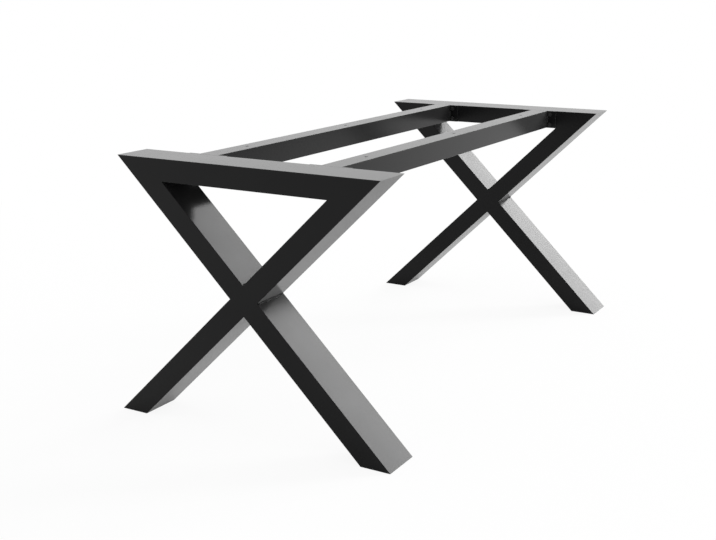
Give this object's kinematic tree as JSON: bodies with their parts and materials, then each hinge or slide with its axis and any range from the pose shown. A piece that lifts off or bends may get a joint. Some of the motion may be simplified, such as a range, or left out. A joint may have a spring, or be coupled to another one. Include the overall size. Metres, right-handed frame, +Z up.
{
  "type": "table frame",
  "caption": "Black steel table frame with X-shaped end frames of wide rectangular tube, joined by square rails flush with their top bars and drilled to take a table top.",
  "frame": {"origin": "on the floor, under the middle of the frame", "axes": "+X along the table, from the left end frame to the right one; +Y across the table; +Z up"},
  "size_m": [1.67, 0.868, 0.73],
  "materials": {
    "powder_coat": "black powder coat, satin with a fine grain",
    "fastener_black": "black oxide",
    "plain_steel": "plain mill finish"
  },
  "bodies": {
    "root": {"back_rail": "powder_coat", "back_rail_left_flange": "powder_coat", "back_rail_right_flange": "powder_coat", "front_rail": "powder_coat", "front_rail_left_flange": "powder_coat", "front_rail_right_flange": "powder_coat", "left_back_backing_plate": "plain_steel", "left_front_backing_plate": "plain_steel", "left_half_leg_foot_plate": "powder_coat", "left_lower_half_leg": "powder_coat", "left_rail_bolts": "fastener_black", "left_through_leg": "powder_coat", "left_through_leg_foot_plate": "powder_coat", "left_top_bar": "powder_coat", "left_upper_half_leg": "powder_coat", "right_back_backing_plate": "plain_steel", "right_front_backing_plate": "plain_steel", "right_half_leg_foot_plate": "powder_coat", "right_lower_half_leg": "powder_coat", "right_rail_bolts": "fastener_black", "right_through_leg": "powder_coat", "right_through_leg_foot_plate": "powder_coat", "right_top_bar": "powder_coat", "right_upper_half_leg": "powder_coat"}
  },
  "joints": []
}
